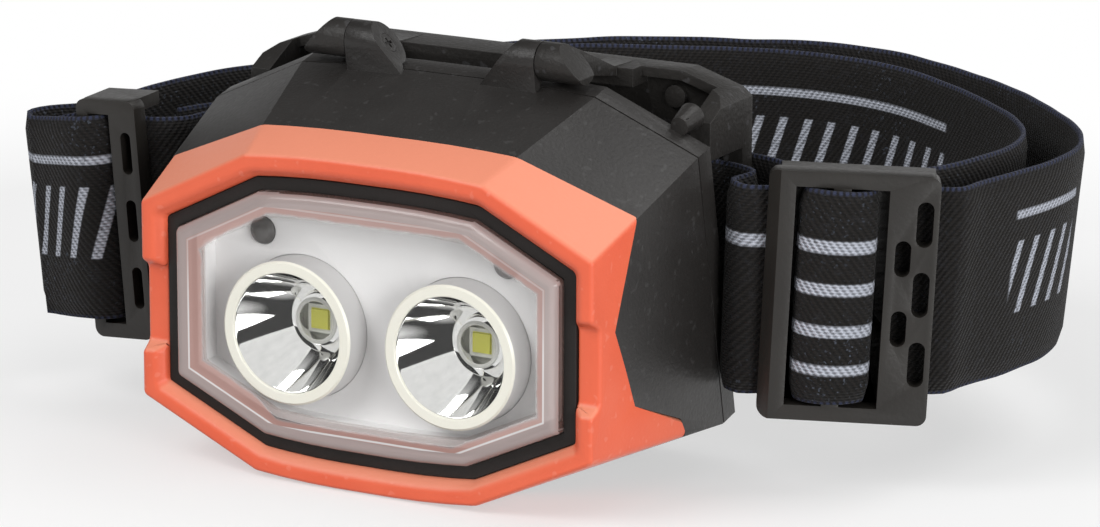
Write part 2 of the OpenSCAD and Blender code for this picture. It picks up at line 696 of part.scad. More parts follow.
// Places a buckle on the strap: X along the strap, Y into it, Z up, with the band's own lean
module on_strap(at, turn) {
    centre = strap_z + strap_w / 2;
    out = [sin(turn), -cos(turn)];
    lean = atan(strap_taper * ((at - band_middle) * out) / strap_w);
    roll = atan(strap_taper * ((at - band_middle) * [cos(turn), sin(turn)]) / strap_w);
    translate([at[0], front_y + at[1], centre]) rotate([0, 0, turn]) rotate([lean, roll, 0]) children();
}
frame_back = strap_t / 2 + gap;
// Flat outline in the strap's frame, given thickness from y = -back - t to y = -back
module strap_plate(back, t) {
    translate([0, -back, 0]) rotate([90, 0, 0]) linear_extrude(t) children();
}
module pill(x, z, w, h) {
    translate([x, z + h / 2 - w / 2]) circle(d = w, $fn = 24);
    translate([x, z - h / 2 + w / 2]) circle(d = w, $fn = 24);
    translate([x - w / 2, z - h / 2 + w / 2]) square([w, h - w]);
}
window_h = strap_w + 4 * gap;
buckle_h = window_h + 2 * buckle_end;
module rounded(x0, x1, h, r) {
    translate([x0 + r, -h / 2]) square([x1 - x0 - 2 * r, h]);
    translate([x0, -h / 2 + r]) square([x1 - x0, h - 2 * r]);
    for (x = [x0 + r, x1 - r], z = [-h / 2 + r, h / 2 - r]) translate([x, z]) circle(r = r, $fn = 24);
}
// End walls of a buckle, which keep the strap between them
module end_walls(x0, x1, depth) {
    for (s = [-1, 1])
        translate([x0 + 0.6, -frame_back - buckle_t * 0.5,
            s * (buckle_h - buckle_end) / 2 - buckle_end / 2 + 0.1])
        cube([x1 - x0 - 1.2, depth, buckle_end - 0.2]);
}
// Wide slide buckle: rounded left bar, window with a hidden middle bar, perforated grip bar
bar_left = 2.3;
// How far the left bar stands out beyond the frame, and the bevel along it
bar_swell = 0.8;
bar_bevel = 1.3;
middle_w = 2;
// Spacing of the grip slots, and how far they lie above the middle
pill_pitch = 8.4;
pill_up = 0.9;
middle_x = -buckle_w / 2 + bar_left + 5.3;
module buckle_right() {
    half = buckle_w / 2;
    grip = half - grip_w;
    edge = -half - bar_swell;
    front = -frame_back - buckle_t;
    color("black") on_strap(buckle_at, buckle_turn) difference() {
        union() {
            strap_plate(frame_back, buckle_t) difference() {
                rounded(edge, half, buckle_h, 1.2);
                translate([-half + bar_left, -window_h / 2])
                    square([middle_x - middle_w / 2 + half - bar_left, window_h]);
                translate([middle_x + middle_w / 2, -window_h / 2])
                    square([grip - middle_x - middle_w / 2, window_h]);
                for (z = [-1, 0, 1]) pill(half - 1.6, z * pill_pitch + pill_up, 1.9, 5.4);
                for (z = [-0.5, 0.5]) pill(half - 3.9, z * pill_pitch + pill_up, 1.8, 4.3);
            }
            end_walls(-half, half, 3.4);
        }
        linear_extrude(buckle_h + 1, center = true)
            polygon([[edge - 1, front - 1], [edge + bar_bevel + 1, front - 1],
                [edge - 1, front + bar_bevel + 1]]);
    }
}
// The strap's wave over the buckle's middle bar
function wave(x0, x1, low, high) = [for (i = [0:12]) let (u = i / 12)
    [x0 + (x1 - x0) * u, -low - (high - low) * pow(sin(180 * u), 0.4)]];
module wave_strip(x0, x1, high) {
    linear_extrude(strap_w, center = true)
        polygon(strip(wave(x0, x1, strap_t + gap, high), strap_t));
}
wave_high = frame_back + buckle_t + strap_t / 2 + gap / 2;
module strap_wave_right() {
    x0 = -buckle_w / 2 + bar_left + strap_t / 2 + 3 * gap;
    x1 = 2 * middle_x - x0;
    color("darkslateblue") on_strap(buckle_at, buckle_turn) wave_strip(x0, x1, wave_high);
}
// Narrow keeper on the other side, with one row of slots
keeper_bar = 1.6;
keeper_grip = 3.8;
module keeper_left() {
    half = keeper_w / 2;
    color("black") on_strap(keeper_at, 0) {
        strap_plate(frame_back, buckle_t) difference() {
            rounded(-half, half, buckle_h, 1.2);
            translate([-half + keeper_bar, -window_h / 2])
                square([keeper_w - keeper_bar - keeper_grip, window_h]);
            for (z = [-1, 0, 1]) pill(half - 1.6, z * pill_pitch, 1.4, 5.2);
        }
        end_walls(-half, half, 5.4);
    }
}
module strap_wave_left() {
    half = keeper_w / 2;
    middle = -half + keeper_bar / 2;
    reach = keeper_bar / 2 + strap_t + 2 * gap;
    color("darkslateblue") on_strap(keeper_at, 0) wave_strip(middle - reach, middle + reach, wave_high);
}

front_bezel();
front_case();
lens_frame();
lens();
reflector_plate();
reflector_left();
reflector_right();
led_left();
led_right();
led_board();
board_screws();
ir_emitter();
ir_receiver();
battery_tray();
tray_screws();
cell_lower();
cell_middle();
cell_upper();
contact_plates();
contact_springs();
switch_board();
tact_switch();
switch_plunger();
power_button();
rear_cover();
cover_seal();
hinge_pin_left();
hinge_pin_right();
bracket();
headband();
buckle_right();
strap_wave_right();
keeper_left();
strap_wave_left();
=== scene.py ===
import json
import math

import bmesh
import bpy
import numpy as np
from mathutils import Matrix, Vector, noise


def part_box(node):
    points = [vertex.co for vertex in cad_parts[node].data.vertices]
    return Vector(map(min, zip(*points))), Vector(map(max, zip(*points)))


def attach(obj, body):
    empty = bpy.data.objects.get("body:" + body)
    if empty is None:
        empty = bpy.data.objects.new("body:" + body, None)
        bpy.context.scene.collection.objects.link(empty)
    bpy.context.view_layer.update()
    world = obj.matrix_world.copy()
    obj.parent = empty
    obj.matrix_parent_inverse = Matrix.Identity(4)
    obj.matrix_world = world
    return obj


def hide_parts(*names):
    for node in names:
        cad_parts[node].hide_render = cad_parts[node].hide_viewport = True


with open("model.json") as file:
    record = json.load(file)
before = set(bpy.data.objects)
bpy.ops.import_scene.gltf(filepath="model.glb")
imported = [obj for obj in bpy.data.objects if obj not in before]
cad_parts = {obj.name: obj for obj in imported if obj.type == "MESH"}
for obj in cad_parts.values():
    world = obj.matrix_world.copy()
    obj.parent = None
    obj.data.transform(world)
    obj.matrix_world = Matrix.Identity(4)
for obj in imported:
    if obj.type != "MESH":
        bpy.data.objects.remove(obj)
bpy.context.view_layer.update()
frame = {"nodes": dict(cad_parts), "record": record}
scene = bpy.context.scene

# Shared sizes, in mm in the CAD's frame. Depth runs backwards from the lamp's front rim.
MM = 0.001
FRONT_Y = -14.0
STRAP_W, STRAP_T = 25.0, 1.4


# Materials

class Tree:
    """A node tree, with short calls to add and join nodes."""

    def __init__(self, tree):
        self.nodes, self.links = tree.nodes, tree.links

    def feed(self, socket, value):
        """Joins a socket to another node's output, or sets its plain value."""
        if isinstance(value, bpy.types.NodeSocket):
            self.links.new(value, socket)
        else:
            socket.default_value = value

    def node(self, kind, **sockets):
        """Adds a node. Its sockets go by name, or by number as i0, i1 and so on."""
        n = self.nodes.new("ShaderNode" + kind)
        for key, value in sockets.items():
            numbered = key[0] == "i" and key[1:].isdigit()
            self.feed(n.inputs[int(key[1:]) if numbered else key.replace("_", " ")], value)
        return n

    def math(self, op, a, b=0.0):
        n = self.node("Math", i0=a, i1=b)
        n.operation = op
        return n.outputs[0]

    def scaled(self, value, gain, offset):
        return self.math("ADD", self.math("MULTIPLY", value, gain), offset)

    def inverted(self, value):
        return self.math("SUBTRACT", 1.0, value)

    def fold(self, op, total, *others):
        """Joins several values by one operation."""
        for value in others:
            total = self.math(op, total, value)
        return total

    def span(self, value, low, high, bottom=0.0, top=1.0, kind="LINEAR"):
        """Goes from bottom to top as a value goes from low to high."""
        n = self.node("MapRange", i0=value, i1=low, i2=high, i3=bottom, i4=top)
        n.interpolation_type = kind
        return n.outputs[0]

    def ramp(self, value, low, high):
        """Goes from 0 to 1 as a value goes from low to high, with soft ends."""
        return self.span(value, low, high, kind="SMOOTHSTEP")

    def between(self, value, low, high, soft):
        """1 where a value lies between low and high, with soft ends."""
        return self.math("MULTIPLY", self.ramp(value, low - soft, low + soft),
                         self.inverted(self.ramp(value, high - soft, high + soft)))


class Material(Tree):
    """A material's nodes, with its main shader."""

    def __init__(self, name):
        self.mat = bpy.data.materials.new(name)
        self.mat.use_nodes = True
        super().__init__(self.mat.node_tree)
        self.shader = self.nodes["Principled BSDF"]

    def set(self, **sockets):
        """Sets the main shader's sockets, by name."""
        for key, value in sockets.items():
            self.feed(self.shader.inputs[key.replace("_", " ")], value)

    def own(self, output="Object"):
        return self.node("TexCoord").outputs[output]

    def place(self):
        """The object's own x and z, in mm."""
        split = self.node("SeparateXYZ", Vector=self.own())
        return [self.math("MULTIPLY", split.outputs[i], 1 / MM) for i in (0, 2)]

    def noise(self, scale, detail=2.0, rough=0.5):
        n = self.node("TexNoise", Vector=self.own(), Scale=scale, Detail=detail, Roughness=rough)
        return n.outputs["Fac"]

    def mix(self, fac, a, b):
        """Mixes two colours."""
        n = self.nodes.new("ShaderNodeMix")
        n.data_type = "RGBA"
        for socket, value in ((n.inputs[0], fac), (n.inputs[6], a), (n.inputs[7], b)):
            self.feed(socket, (*value, 1.0) if isinstance(value, tuple) else value)
        return n.outputs[2]

    def bump(self, height, strength, distance=0.0002):
        return self.node("Bump", Height=height, Strength=strength, Distance=distance).outputs[0]


def plastic(name, base, tint, rough, grain, bump, patch, gloss=0.5, specks=None, speck_amount=0.0,
            painted_top_sheen=None):
    """Moulded plastic with slow tone changes and a fine grain, with specks where given, and with a painted
    sheen that makes upward faces paler, as if lit from above, where given.

    grain and patch are the scales of the fine and the slow noise.
    """
    t = Material(name)
    fine = t.noise(grain)
    colour = t.mix(t.ramp(t.noise(patch, 3.0, 0.55), 0.3, 0.75), base, tint)
    if specks:
        dots = t.ramp(t.noise(grain * 0.42, 1.0, 0.4), 0.66, 0.74)
        colour = t.mix(t.math("MULTIPLY", dots, speck_amount), colour, specks)
    # Painted sheen: upward faces turn paler, standing in for the highlight that light from above leaves on
    # the tops.
    if painted_top_sheen:
        upward = t.node("SeparateXYZ", Vector=t.own("Normal")).outputs[2]
        colour = t.mix(t.ramp(upward, 0.2, 0.85), colour, painted_top_sheen)
    t.set(Base_Color=colour, Roughness=t.scaled(fine, 0.16, rough - 0.08), Normal=t.bump(fine, bump))
    t.set(IOR=1.5, Specular_IOR_Level=gloss)
    return t.mat


def metal(name, base, rough, grain, bump):
    t = Material(name)
    fine = t.noise(grain, 3.0)
    t.set(Base_Color=t.mix(fine, tuple(c * 0.86 for c in base), base), Metallic=1.0)
    t.set(Roughness=t.scaled(fine, rough * 0.6, rough * 0.7), Normal=t.bump(fine, bump))
    return t.mat


GLASS_GRAIN, GLASS_IOR = 260.0, 1.49


def glassy(name, base, alpha, rough):
    t = Material(name)
    fine = t.noise(GLASS_GRAIN)
    t.set(Base_Color=t.mix(fine, tuple(c * 0.94 for c in base), base), Alpha=alpha)
    t.set(IOR=GLASS_IOR, Roughness=t.scaled(fine, 0.05, rough))
    return t.mat


# The lens window's outline, in mm: half its width, its top and bottom, and each slant's normal and reach
PANE_HALF, PANE_TOP, PANE_BOTTOM = 23.9, 32.9, 6.25
PANE_SLANTS = ((0.448, 0.894, 35.26), (0.422, -0.907, -0.57))


def inside_pane(t, x, z):
    """Distance in mm inside the lens window's outline."""
    side = t.math("ABSOLUTE", x)
    edges = [t.math("SUBTRACT", PANE_HALF, side), t.math("SUBTRACT", PANE_TOP, z),
             t.math("SUBTRACT", z, PANE_BOTTOM)]
    for nx, nz, reach in PANE_SLANTS:
        along = t.math("ADD", t.math("MULTIPLY", side, nx), t.math("MULTIPLY", z, nz))
        edges.append(t.math("SUBTRACT", reach, along))
    return t.fold("MINIMUM", *edges)


def window_glass(name):
    """Clear window whose border turns less clear and carries a painted reddish reflection of the orange bezel
    in the rim round it, wider on the left, with a painted highlight line along its edge, stronger lower down.
    """
    t = Material(name)
    fine = t.noise(GLASS_GRAIN)
    x, z = t.place()
    edge = inside_pane(t, x, z)
    streaks = t.math("MULTIPLY", t.noise(500.0), 0.4)
    lower = t.scaled(t.ramp(z, 29.0, 25.0), 0.8, 0.2)
    wider = t.math("MULTIPLY", t.math("MULTIPLY", t.ramp(x, -11.0, -15.0), lower), 1.1)
    # Painted reflection: the border, wider on the left and below the top, stands in for the orange bezel seen
    # in the lens's rim walls.
    border = t.inverted(t.ramp(t.math("SUBTRACT", t.math("ADD", edge, streaks), wider), 0.9, 1.5))
    # Painted highlight: a thin bright line along the edge, stronger lower down.
    glint = t.scaled(t.ramp(z, 28.0, 18.0), 0.6, 0.35)
    line = t.math("MULTIPLY", t.between(edge, 0.05, 0.28, 0.06), glint)
    colour = t.mix(border, (0.82, 0.82, 0.82), (0.50, 0.30, 0.265))
    alpha = t.math("MAXIMUM", t.scaled(border, 0.74, 0.02), t.math("MULTIPLY", line, 0.7))
    t.set(Base_Color=t.mix(line, colour, (0.86, 0.85, 0.85)), Alpha=alpha)
    t.set(IOR=GLASS_IOR, Roughness=t.scaled(fine, 0.04, 0.03))
    return t.mat


def led_face(name, x, z, half):
    """White package with a square phosphor in the middle of its face, for the light sources at x and -x."""
    t = Material(name)
    own_x, own_z = t.place()
    away = t.math("MAXIMUM", t.math("ABSOLUTE", t.math("SUBTRACT", t.math("ABSOLUTE", own_x), x)),
                  t.math("ABSOLUTE", t.math("SUBTRACT", own_z, z)))
    grain = t.noise(2600.0)
    phosphor = t.mix(grain, (0.66, 0.65, 0.06), (0.78, 0.76, 0.14))
    package = t.mix(grain, (0.74, 0.75, 0.68), (0.82, 0.82, 0.77))
    t.set(Base_Color=t.mix(t.ramp(away, half - 0.08, half + 0.08), phosphor, package), Roughness=0.4)
    return t.mat


# The strap's weave and print, in mm: pitches, heights of the line and the bars, and the bars' step and span
TWILL_PITCH, PICK_PITCH, THREAD_PITCH = 0.62, 0.36, 0.7
LINE_HEIGHTS, BAR_HEIGHTS = (19.2, 20.2), (7.6, 16.4)
BAR_STEP, BAR_SPAN = 3.4, (1.1, 2.2)


def webbing(name, zones=(), stripes=(), lean=0.30):
    """Woven elastic. UV x is the length and y the height above the lower edge, in metres.

    zones are stretches of the length, in mm, that carry a plain printed motif. stripes are heights and widths
    of woven stripes, with the stretch that carries them where it isn't the whole length.
    """
    t = Material(name)
    split = t.node("SeparateXYZ", Vector=t.node("UVMap").outputs[0])
    u, v = [t.math("MULTIPLY", split.outputs[i], 1 / MM) for i in (0, 1)]

    def wave(value, pitch):
        return t.math("SINE", t.math("MULTIPLY", value, 2 * math.pi / pitch))

    twill = wave(t.math("ADD", t.math("MULTIPLY", u, 0.80), t.math("MULTIPLY", v, 0.60)), TWILL_PITCH)
    picks = wave(v, PICK_PITCH)
    weave = t.math("ADD", t.math("MULTIPLY", twill, 0.65), t.math("MULTIPLY", picks, 0.35))
    grain = t.noise(1100.0, 3.0, 0.6)
    colour = t.mix(t.ramp(weave, -0.8, 0.9), (0.0036, 0.0030, 0.0027), (0.0122, 0.0104, 0.0093))
    colour = t.mix(t.math("MULTIPLY", t.ramp(grain, 0.45, 0.8), 0.5), colour, (0.020, 0.020, 0.023))
    flecks = t.math("MULTIPLY", t.ramp(t.noise(2300.0), 0.60, 0.72),
                    t.math("ADD", t.ramp(t.noise(70.0), 0.45, 0.75), 0.12))
    colour = t.mix(t.math("MULTIPLY", flecks, 0.55), colour, (0.11, 0.13, 0.17))
    edge = t.math("MINIMUM", v, t.math("SUBTRACT", STRAP_W, v))
    threads = t.scaled(t.ramp(wave(u, THREAD_PITCH), -0.9, 0.6), 0.7, 0.1)
    selvedge = t.math("MULTIPLY", t.inverted(t.ramp(edge, 0.15, 0.55)), threads)
    colour = t.mix(selvedge, colour, (0.036, 0.044, 0.088))
    marks = []
    for low, high in zones:
        line = t.between(v, *LINE_HEIGHTS, 0.15)
        step = t.math("PINGPONG", t.math("ADD", u, t.math("MULTIPLY", v, lean)), BAR_STEP)
        bars = t.math("MULTIPLY", t.between(step, *BAR_SPAN, 0.12), t.between(v, *BAR_HEIGHTS, 0.15))
        marks.append(t.math("MULTIPLY", t.between(u, low, high, 0.3), t.math("MAXIMUM", line, bars)))
    for height, width, *stretch in stripes:
        mark = t.between(v, height - width / 2, height + width / 2, 0.16)
        if stretch:
            mark = t.math("MULTIPLY", mark, t.between(u, *stretch, 0.3))
        marks.append(mark)
    worn = t.math("MULTIPLY", t.scaled(t.ramp(weave, -0.9, 0.4), 0.5, 0.35), t.ramp(grain, 0.18, 0.42))
    colour = t.mix(t.math("MULTIPLY", t.fold("MAXIMUM", *marks), worn), colour, (0.55, 0.58, 0.66))
    relief = t.math("ADD", t.math("MULTIPLY", weave, 0.5), t.math("MULTIPLY", grain, 0.6))
    t.set(Base_Color=colour, Roughness=0.88, Normal=t.bump(relief, 0.8, 0.00025))
    t.set(Sheen_Weight=0.04, Specular_IOR_Level=0.25)
    return t.mat


# The orange's paler colour on upward faces is a painted sheen of the light from above.
ORANGE = plastic("orange_plastic", (0.78, 0.126, 0.058), (0.82, 0.150, 0.072), rough=0.42, grain=2200.0,
                 bump=0.16, patch=70.0, gloss=0.4, specks=(0.95, 0.55, 0.45), speck_amount=0.10,
                 painted_top_sheen=(0.775, 0.262, 0.158))
BLACK = plastic("black_plastic", (0.0175, 0.0158, 0.0148), (0.0245, 0.0225, 0.0212), rough=0.44, grain=2400.0,
                bump=0.22, patch=80.0, gloss=0.42, specks=(0.12, 0.12, 0.12), speck_amount=0.14)
BRACKET = plastic("speckled_plastic", (0.018, 0.0165, 0.0152), (0.027, 0.0250, 0.0233), rough=0.48,
                  grain=1900.0, bump=0.4, patch=90.0, gloss=0.3, specks=(0.12, 0.12, 0.13), speck_amount=0.22)
BUCKLE = plastic("buckle_plastic", (0.015, 0.0132, 0.0115), (0.023, 0.0207, 0.018), rough=0.40, grain=1800.0,
                 bump=0.16, patch=70.0, gloss=0.4)
RING = plastic("ring_plastic", (0.012, 0.010, 0.009), (0.018, 0.015, 0.014), rough=0.6, grain=2000.0,
               bump=0.2, patch=90.0, gloss=0.3)
PALE = plastic("pale_plastic", (0.80, 0.795, 0.79), (0.85, 0.845, 0.84), rough=0.42, grain=1600.0,
               bump=0.06, patch=40.0)
# Painted shade: the cups' outer sides are a darker copy of the pale plastic, standing in for the shade on
# them.
SHADED_CUP = plastic("cup_side_painted_shade", (0.56, 0.555, 0.55), (0.61, 0.605, 0.60), rough=0.42, grain=1600.0,
              bump=0.06, patch=40.0)
COLLAR = plastic("led_collar", (0.62, 0.62, 0.58), (0.74, 0.74, 0.70), rough=0.16, grain=1500.0,
                 bump=0.03, patch=60.0)
CREAM = plastic("cream_ring", (0.85, 0.835, 0.735), (0.89, 0.875, 0.775), rough=0.34, grain=1500.0,
                bump=0.05, patch=60.0)
DOME = plastic("tinted_dome", (0.060, 0.057, 0.054), (0.085, 0.080, 0.076), rough=0.2, grain=900.0,
               bump=0.03, patch=200.0)
DOME_PALE = plastic("smoked_dome", (0.20, 0.19, 0.19), (0.26, 0.25, 0.24), rough=0.24, grain=900.0,
                    bump=0.03, patch=200.0)
PACKAGE = plastic("white_package", (0.70, 0.71, 0.62), (0.78, 0.78, 0.71), rough=0.4, grain=2000.0,
                  bump=0.05, patch=300.0)
BOARD = plastic("green_board", (0.02, 0.10, 0.05), (0.03, 0.14, 0.07), rough=0.4, grain=1500.0,
                bump=0.1, patch=90.0)
CELL = plastic("cell_can", (0.42, 0.26, 0.06), (0.50, 0.32, 0.09), rough=0.35, grain=1500.0,
               bump=0.05, patch=90.0)
RUBBER = plastic("rubber", (0.010, 0.010, 0.010), (0.018, 0.018, 0.018), rough=0.7, grain=1800.0,
                 bump=0.3, patch=90.0)
CHROME = metal("chrome", (0.93, 0.93, 0.92), rough=0.045, grain=900.0, bump=0.01)
STEEL = metal("steel", (0.60, 0.60, 0.61), rough=0.30, grain=1200.0, bump=0.08)
WINDOW = window_glass("clear_window")
RIM = glassy("clear_rim", (0.47, 0.385, 0.37), alpha=0.76, rough=0.12)
# Painted reflection: the step's reddish colour stands in for the orange bezel seen in the clear lens's walls.
STEP_REFLECTION = glassy("step_painted_reflection", (0.52, 0.33, 0.29), alpha=0.20, rough=0.15)
CLEAR = glassy("clear_back", (0.80, 0.80, 0.80), alpha=0.015, rough=0.03)


# Making pieces

def body_named(node):
    for body, nodes in frame["record"]["behaviour"]["bodies"].items():
        if node in nodes:
            return body
    raise ValueError(node)


def link(name, mesh, node, replace=True):
    """Puts a mesh into the scene on its CAD node's body, in that node's place or beside it."""
    o = bpy.data.objects.new(name, mesh)
    scene.collection.objects.link(o)
    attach(o, body_named(node))
    if replace:
        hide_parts(node)
    return o


def dress(node, material):
    """Gives a CAD node its material."""
    mesh = frame["nodes"][node].data
    mesh.materials.clear()
    mesh.materials.append(material)


# Points of a CAD mesh nearer than WELD, in m, are joined, and faces that meet flatter than FLAT, in degrees
WELD, FLAT = 2e-6, 0.6
BACKWARD = 0.5  # Y of its normal from which a face counts as facing backwards


def eased(node, material, radius, angle=25.0, segments=3, outside=False):
    """A copy of a CAD node with the edges that are sharper than an angle rounded off.

    By default, short edges narrow the rounding. With outside they don't, but then the edges of faces that
    face backwards stay sharp.
    """
    bm = bmesh.new()
    bm.from_mesh(frame["nodes"][node].data)
    bmesh.ops.remove_doubles(bm, verts=bm.verts, dist=WELD)
    bmesh.ops.dissolve_limit(bm, angle_limit=math.radians(FLAT), verts=bm.verts, edges=bm.edges)
    weight = bm.edges.layers.float.new("bevel_weight_edge")
    for f in bm.faces:
        f.smooth = True
        f.normal_update()
    for e in bm.edges:
        sharp = len(e.link_faces) == 2 and e.calc_face_angle() > math.radians(angle)
        at_back = any(f.normal.y >= BACKWARD for f in e.link_faces)
        e[weight] = float(sharp and not at_back)
        e.smooth = not (outside and sharp and at_back)
    mesh = bpy.data.meshes.new(node + "_eased")
    bm.to_mesh(mesh)
    bm.free()
    mesh.materials.append(material)
    o = link(node + "_eased", mesh, node)
    m = o.modifiers.new("edges", "BEVEL")
    m.width = radius * MM
    m.segments = segments
    m.limit_method = "WEIGHT" if outside else "ANGLE"
    m.angle_limit = math.radians(angle)
    m.harden_normals = True
    m.use_clamp_overlap = not outside
    m.miter_outer = "MITER_ARC"
    return o


def finished(mesh, weld=None):
    """Turns a mesh's faces outwards, after joining points nearer than weld where it is given."""
    bm = bmesh.new()
    bm.from_mesh(mesh)
    if weld:
        bmesh.ops.remove_doubles(bm, verts=bm.verts, dist=weld)
    bmesh.ops.recalc_face_normals(bm, faces=bm.faces)
    bm.to_mesh(mesh)
    bm.free()
    return mesh


LATHE_STEPS, LATHE_SHARP = 96, 40.0


def lathe(name, profile, centre, materials, spans, node, replace=True):
    """Turns [radius, depth] points, in mm, round an axis along Y. spans gives each stretch's material."""
    verts, faces, marks = [], [], []
    n = len(profile)
    for k in range(LATHE_STEPS):
        a = 2 * math.pi * k / LATHE_STEPS
        for r, d in profile:
            x, z = centre[0] + r * math.cos(a), centre[1] + r * math.sin(a)
            verts.append((x * MM, (FRONT_Y + d) * MM, z * MM))
    for k in range(LATHE_STEPS):
        for i in range(n - 1):
            a, b = k * n + i, ((k + 1) % LATHE_STEPS) * n + i
            faces.append((a, b, b + 1, a + 1))
            marks.append(spans[i])
    mesh = bpy.data.meshes.new(name)
    mesh.from_pydata(verts, [], faces)
    for m in materials:
        mesh.materials.append(m)
    for p, mark in zip(mesh.polygons, marks):
        p.use_smooth = True
        p.material_index = mark
    finished(mesh, weld=1e-7).set_sharp_from_angle(angle=math.radians(LATHE_SHARP))
    return link(name, mesh, node, replace)


class Rows:
    """Rows of a strap along a plan path.

    place(point, normal, h) gives a row's middle and its normal at a share h of the strap's height.
    """

    def __init__(self, plan, place):
        ahead = np.gradient(plan, axis=0)
        ahead /= np.linalg.norm(ahead, axis=1)[:, None]
        steps = np.linalg.norm(np.diff(plan, axis=0), axis=1)
        self.plan, self.place = plan, place
        self.normals = np.stack([-ahead[:, 1], ahead[:, 0]], 1)
        self.length = np.concatenate([[0], np.cumsum(steps)])

    def at(self, i, h):
        return self.place(self.plan[i], self.normals[i], h)


# A strap's section: points across it, width of its rounded edge in mm, and thickness share at the very edge
ACROSS, EDGE_ROUND, EDGE_THIN = 14, 0.8, 0.35
START_THIN = 0.2  # Thickness share at a thinned start
TWIST = 0.25  # How far a strap's edges wander, in mm


def ribbon(name, rows, thickness, material, node, wobble=0.0, thin_start=0.0):
    """A strap with rounded edges along rows, in mm.

    wobble is the height of its ripple, and thin_start the length over which it grows to its full thickness.
    """
    count = len(rows.plan)
    profile = [(h, 1.0) for h in np.linspace(0, 1, ACROSS)] + [(h, -1.0) for h in np.linspace(1, 0, ACROSS)]
    verts, faces, uvs = [], [], []
    for i in range(count):
        along = rows.length[i]
        for h, s in profile:
            edge = min(1.0, min(h, 1 - h) * STRAP_W / EDGE_ROUND)
            thin = EDGE_THIN + (1 - EDGE_THIN) * math.sqrt(1 - (1 - edge) ** 2)
            if along < thin_start:
                thin *= START_THIN + (1 - START_THIN) * along / thin_start
            middle, out = rows.at(i, h)
            ripple = wobble * noise.noise(Vector((along * 0.09, h * 1.3, 3.7)))
            p = middle + out * (s * thickness / 2 * thin + ripple)
            p[2] += (h - 0.5) * TWIST * noise.noise(Vector((along * 0.16, 7.1, 1.3)))
            verts.append(tuple(p * MM))

    n = len(profile)

    def uv(i, j):
        return rows.length[i] * MM, profile[j][0] * STRAP_W * MM

    for i in range(count - 1):
        for j in range(n):
            corners = ((i, j), (i + 1, j), (i + 1, (j + 1) % n), (i, (j + 1) % n))
            faces.append(tuple(a * n + b for a, b in corners))
            uvs.append([uv(a, b) for a, b in corners])
    for i, ring in ((0, range(n)), (count - 1, range(n)[::-1])):
        faces.append(tuple(i * n + j for j in ring))
        uvs.append([uv(i, j) for j in ring])
    mesh = bpy.data.meshes.new(name)
    mesh.from_pydata(verts, [], faces)
    mesh.materials.append(material)
    layer = mesh.uv_layers.new(name="UVMap")
    for p, corners in zip(mesh.polygons, uvs):
        p.use_smooth = True
        for loop, c in zip(p.loop_indices, corners):
            layer.data[loop].uv = c
    return link(name, finished(mesh), node)


# The strap's route, as in the CAD: [x, depth] points in mm with an even spline through them

PLATE_T, BRACKET_W, BAR_W = 2.4, 31.2, 2.6
PLATE_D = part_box("bracket")[1].y / MM - FRONT_Y - PLATE_T
STRAP_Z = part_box("headband")[0].z / MM
WRAP = STRAP_T / 2 + 0.75
BAND_MIDDLE, TAPER = np.array((2.0, 46.0)), 0.032
BUCKLE_AT, BUCKLE_TURN = np.array((48.0, 29.6)), 27.0
KEEPER_AT, KEEPER_TURN = np.array((-44.7, 19.8)), 0.0
ROUTE_STEP = 1.3


def round_bar(side):
    """The turn round the bracket's bar on one side."""
    edge = BRACKET_W - BAR_W
    turn = [math.radians(a) for a in (0, 22.5, 45, 67.5, 90)]
    return [(side * (edge - WRAP * math.sin(a)), PLATE_D - WRAP * math.cos(a)) for a in turn] + \
        [(side * (edge - WRAP * math.cos(a)), PLATE_D + PLATE_T + WRAP * math.sin(a)) for a in turn]


def band_points():
    """The route from the left tail by the left bar, the keeper, the back, the buckle and the right bar."""
    along = np.array((math.cos(math.radians(BUCKLE_TURN)), math.sin(math.radians(BUCKLE_TURN))))
    p = [(-40.4, 25.6), (-37.6, 30.8), (-33.6, 37.4)] + round_bar(-1)[::-1]
    p += [(-34.4, 31.4), (-36.2, 26.4), (-37.4, 22)]
    p += [tuple(KEEPER_AT + np.array((-6.4 * s - 1.8, 0))) for s in (-1, 0, 1)]
    p += [(-57.6, 20), (-60.6, 22.6), (-60, 26.2), (-55.4, 31.6), (-51, 39), (-45.4, 51), (-36.4, 65),
          (-26.6, 76.4), (-10.6, 90), (8.6, 95.4), (23.4, 95), (40, 86.8), (52, 76), (60.4, 66), (62.8, 57),
          (61.8, 46.6), (59.6, 38.4)]
    p += [tuple(BUCKLE_AT + s * along) for s in (12.4, 9.4, 0, -9.4, -11.8)]
    p += [(35.6, 27), (34.2, 31.4)] + round_bar(1)
    p += [(33.6, 37.4), (40, 34), (46, 36), (51.6, 43), (54.6, 55), (52.6, 65), (43.6, 76), (26.6, 87.6),
          (11, 89.6), (-2, 87.6), (-14, 82.6), (-25.6, 74.8)]
    return np.array(p, float)


def tangent(a, b, c):
    """The spline's direction at b, scaled to the stretch from b to c."""
    j, k = math.sqrt(np.linalg.norm(b - a)), math.sqrt(np.linalg.norm(c - b))
    return k * ((b - a) / j - (c - a) / (j + k) + (c - b) / k)


def smooth(points, step):
    """Points about a step apart on the spline through points."""
    q = np.vstack([2 * points[0] - points[1], points, 2 * points[-1] - points[-2]])
    out = []
    for i in range(1, len(q) - 2):
        a, b, c, d = q[i - 1:i + 3]
        m, n = tangent(a, b, c), -tangent(d, c, b)
        count = max(1, round(np.linalg.norm(c - b) / step))
        for k in range(count):
            t = k / count
            u = 1 - t
            out.append(u * u * (1 + 2 * t) * b + t * u * u * m + t * t * (3 - 2 * t) * c - t * t * u * n)
    out.append(q[-2])
    return np.array(out)


def soft_step(value, low, high):
    """Goes from 0 to 1 as a value goes from low to high, with soft ends."""
    u = min(1.0, max(0.0, (value - low) / (high - low)))
    return u * u * (3 - 2 * u)


def near(p, at, reach):
    """1 at a place on the route, falling to nothing some way from it."""
    return math.exp(-((p[0] - at[0]) ** 2 + (p[1] - at[1]) ** 2) / reach ** 2)


